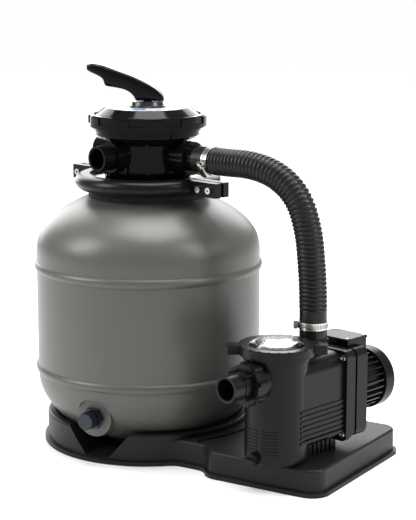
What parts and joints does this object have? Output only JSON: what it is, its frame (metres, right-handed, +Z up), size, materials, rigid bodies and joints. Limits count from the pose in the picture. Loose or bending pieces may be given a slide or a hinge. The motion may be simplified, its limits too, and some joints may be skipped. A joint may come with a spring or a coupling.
{
  "type": "sand filter set",
  "caption": "Moulded sand filter tank on a plinth with a lever-operated top valve, a corrugated hose and a strainer pump.",
  "frame": {"origin": "the tank's axis at floor level, under the base", "axes": "+Z up the tank's axis; +Y along the pump's shaft, from its inlet to its motor; +X from the tank towards the pump"},
  "size_m": [0.648, 0.4468, 0.6685],
  "materials": {
    "tank": "satin, moulded",
    "base": "satin, moulded",
    "gloss_black": "polished",
    "black": "satin",
    "clear": "clear moulded",
    "rubber": "matt",
    "hose": "satin, corrugated",
    "steel": "bright",
    "label": "printed ring",
    "drain": "dark blue black",
    "natural": "moulded",
    "motor": "satin black",
    "iron": "laminated",
    "sand": "graded filter sand",
    "grey": "moulded"
  },
  "bodies": {
    "frame": {"base_plinth": "base", "tank_shell": "tank", "neck_o_ring": "rubber", "drain_nut": "drain", "standpipe": "natural", "lateral_hub": "natural", "laterals": "natural", "top_diffuser": "natural", "sand_bed": "sand", "collar_half_front": "black", "collar_half_rear": "black", "collar_bolts": "steel", "collar_nuts": "steel", "valve_body": "gloss_black", "cover_o_ring": "rubber", "valve_cover": "gloss_black", "stem_o_ring": "rubber", "valve_lock_ring": "gloss_black", "label_disc": "label", "spider_gasket": "rubber", "gauge_plug": "black", "hose": "hose", "hose_clamps": "steel", "hose_clamp_screws": "steel", "pump_housing": "black", "outlet_adaptor": "black", "inlet_union": "black", "inlet_tail": "black", "inlet_seal": "rubber", "wear_plate": "natural", "shaft_seal": "iron", "seal_plate": "black", "plate_screws": "steel", "motor_bracket": "black", "motor_housing": "motor", "stator": "iron", "bearings": "steel", "fan_cover": "black", "terminal_box": "black", "terminal_lid": "black", "cable_gland": "black", "capacitor": "grey", "foot_screws": "steel"},
    "drain_seal": {"drain_gasket": "rubber"},
    "drain_cap": {"drain_cap": "drain"},
    "selector": {"thrust_washer": "grey"},
    "rotor": {"selector_rotor": "grey", "handle_pin": "gloss_black", "selector_spring": "steel"},
    "handle": {"handle": "gloss_black"},
    "pump_spin": {"motor_shaft": "steel", "motor_rotor": "iron", "impeller": "natural", "cooling_fan": "black"},
    "strainer_lid": {"strainer_lid": "clear", "lid_o_ring": "rubber"},
    "lid_ring": {"lid_ring": "black"},
    "basket": {"strainer_basket": "natural"},
    "plug_seal": {"pot_plug_seal": "rubber"},
    "pot_plug": {"pot_plug": "black"}
  },
  "joints": [
    {"name": "drain_cap_travel", "type": "slide", "parent": "frame", "child": "drain_seal", "axis": [0.2756, -0.9613, 0], "range_m": [0, 0.012]},
    {"name": "drain_cap_turn", "type": "hinge", "parent": "drain_seal", "child": "drain_cap", "pos_m": [0, 0, 0.08], "axis": [0.2756, -0.9613, 0], "range_deg": [0, 1440]},
    {"name": "selector_turn", "type": "hinge", "parent": "frame", "child": "selector", "pos_m": [0, 0, 0.6], "axis": [0, 0, 1], "continuous": true},
    {"name": "rotor_lift", "type": "slide", "parent": "selector", "child": "rotor", "axis": [0, 0, 1], "range_m": [0, 0.005], "deforming": ["selector_spring"]},
    {"name": "handle_press", "type": "hinge", "parent": "rotor", "child": "handle", "pos_m": [0, 0, 0.615], "axis": [0.7071, -0.7071, 0], "range_deg": [0, 12], "stiffness_Nm_per_rad": 2, "springref_deg": -5.73},
    {"name": "pump_spin", "type": "hinge", "parent": "frame", "child": "pump_spin", "pos_m": [0.355, 0, 0.141], "axis": [0, 1, 0], "continuous": true},
    {"name": "lid_lift", "type": "slide", "parent": "frame", "child": "strainer_lid", "axis": [0, 0, 1], "range_m": [0, 0.09]},
    {"name": "lid_ring_turn", "type": "hinge", "parent": "strainer_lid", "child": "lid_ring", "pos_m": [0.355, -0.056, 0.227], "axis": [0, 0, 1], "range_deg": [0, 15]},
    {"name": "basket_lift", "type": "slide", "parent": "frame", "child": "basket", "axis": [0, 0, 1], "range_m": [0, 0.054]},
    {"name": "pot_plug_travel", "type": "slide", "parent": "frame", "child": "plug_seal", "axis": [0, -1, 0], "range_m": [0, 0.012]},
    {"name": "pot_plug_turn", "type": "hinge", "parent": "plug_seal", "child": "pot_plug", "pos_m": [0.355, -0.056, 0.06], "axis": [0, -1, 0], "range_deg": [0, 1440]}
  ],
  "couplings": [
    {"joint": "drain_cap_travel", "follows": "drain_cap_turn", "m_per_rad": 0.00047746},
    {"joint": "pot_plug_travel", "follows": "pot_plug_turn", "m_per_rad": 0.00047746},
    {"joint": "rotor_lift", "follows": "handle_press", "m_per_rad": 0.023849},
    {"joint": "basket_lift", "follows": "lid_lift", "ratio": 0.5994}
  ]
}
